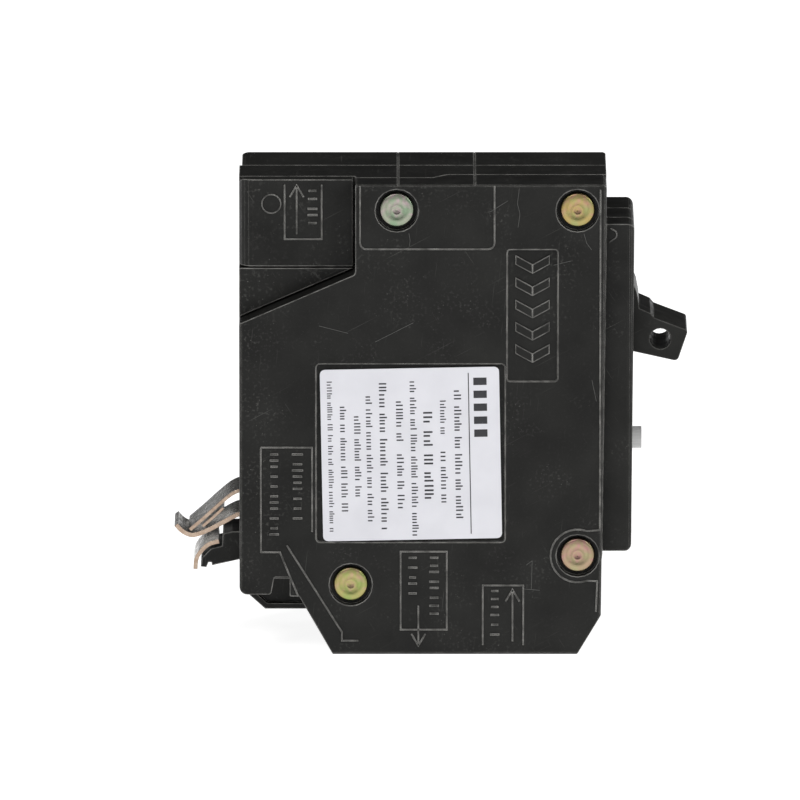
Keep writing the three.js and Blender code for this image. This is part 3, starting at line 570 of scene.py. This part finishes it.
# ---- Label print ----
LABEL_Y = Vector(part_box("label")[0]).y
LABEL_TILT = math.radians(1.1)
LABEL_SIZE = (28.3, 27.8)
INK_LIFT = 0.012
INK_DEPTH = 0.02
# Each column of print: mm from the left edge, mm from the top edge to its start and end, height of its marks.
PRINT_COLUMNS = [
    (21.5, 3.7, 24.5, 1.35),
    (19.2, 5.3, 11.0, 1.1),
    (19.2, 13.6, 21.9, 1.3),
    (16.7, 7.1, 21.2, 1.7),
    (14.5, 2.1, 27.0, 1.2),
    (12.3, 5.3, 11.5, 1.3),
    (12.3, 13.9, 22.9, 1.3),
    (9.7, 2.3, 26.1, 1.4),
    (7.5, 4.4, 24.5, 1.2),
    (5.6, 7.6, 20.7, 1.2),
    (3.4, 6.0, 22.9, 1.2),
    (1.35, 1.9, 26.2, 0.95),
]


def label_print():
    """Rows of plain ticks in place of letters, with a block of stripes in place of a mark."""
    grid = bmesh.new()
    centre = middle("label")
    turned = Matrix.Rotation(-LABEL_TILT, 4, "Y")
    ink_y = LABEL_Y - INK_LIFT * MM

    def bar(across0, across1, down0, down1):
        outline = []
        for across, down in ((across0, down1), (across1, down1), (across1, down0), (across0, down0)):
            local = Vector(((across - LABEL_SIZE[0] / 2) * MM, 0, (LABEL_SIZE[1] / 2 - down) * MM))
            spot = centre + turned @ local
            outline.append((spot.x, spot.z))
        prism(grid, outline, ink_y, LABEL_Y + INK_DEPTH * MM)

    for k in range(5):
        bar(24.2, 26.3, 1.7 + 2.1 * k, 2.9 + 2.1 * k)
    bar(23.35, 23.5, 0.9, 27.0)
    for across, start, end, height in PRINT_COLUMNS:
        down = start
        letters_left = chance.randint(3, 8)
        while down < end:
            reach = height * chance.choice((0.3, 0.3, 0.42))
            bar(across - height * 0.3, across - height * 0.3 + 2 * reach, down, down + height * 0.17)
            down += height * chance.choice((0.36, 0.42, 0.5))
            letters_left -= 1
            if letters_left == 0:
                down += height * 0.5
                letters_left = chance.randint(3, 8)
    return grid


INK = plain("label_ink", (0.03, 0.03, 0.035), 0.6)
piece("label_print", finish_mesh("label_print", label_print()), INK)

# ---- Floor, light and camera ----
CAMERA_ELEVATION = math.radians(13.0)
CAMERA_DISTANCE = 3.0
CAMERA_TARGET = on_case(25.4, 41.4)
CAMERA_LENS = 855.0


def floor():
    """A pale plane that glows slightly, so that it stays even behind the part."""
    reach = 5.0
    grid = bmesh.new()
    grid.faces.new([grid.verts.new((x, y, LOAD_END_Z)) for x, y in
                    ((-reach, -reach), (reach, -reach), (reach, reach), (-reach, reach))])
    made = bpy.data.objects.new("floor", finish_mesh("floor", grid))
    finish = Finish("floor_white", (0.6, 0.6, 0.6), 0.8, specular=0.1)
    finish.shader.inputs["Emission Color"].default_value = (1, 1, 1, 1)
    finish.shader.inputs["Emission Strength"].default_value = 0.9
    made.data.materials.append(finish.material)
    bpy.context.scene.collection.objects.link(made)


def soft_light(name, place, size, power):
    lamp = bpy.data.lights.new(name, "AREA")
    lamp.shape = "RECTANGLE"
    lamp.size, lamp.size_y = size
    lamp.energy = power
    made = bpy.data.objects.new(name, lamp)
    made.location = place
    made.rotation_euler = (CAMERA_TARGET - Vector(place)).to_track_quat("-Z", "Y").to_euler()
    bpy.context.scene.collection.objects.link(made)


def surroundings():
    world = bpy.data.worlds.new("white_room")
    world.use_nodes = True
    world.node_tree.nodes["Background"].inputs["Color"].default_value = (1, 1, 1, 1)
    world.node_tree.nodes["Background"].inputs["Strength"].default_value = 0.055
    bpy.context.scene.world = world
    bpy.context.scene.view_settings.view_transform = "Standard"


def camera():
    made = bpy.data.objects.new("camera", bpy.data.cameras.new("camera"))
    made.data.sensor_width = 36.0
    made.data.lens = CAMERA_LENS
    made.data.clip_end = 20
    away = Vector((0, -math.cos(CAMERA_ELEVATION), math.sin(CAMERA_ELEVATION)))
    made.location = CAMERA_TARGET + away * CAMERA_DISTANCE
    made.rotation_euler = (-away).to_track_quat("-Z", "Y").to_euler()
    bpy.context.scene.collection.objects.link(made)
    bpy.context.scene.camera = made


floor()
surroundings()
soft_light("key_light", (-0.62, -0.82, 1.3), (0.8, 0.8), 12)
soft_light("fill_light", (0.9, -0.6, 0.7), (0.6, 0.8), 7.5)
soft_light("back_light", (1.3, 0.9, 0.6), (0.8, 0.6), 4)
camera()
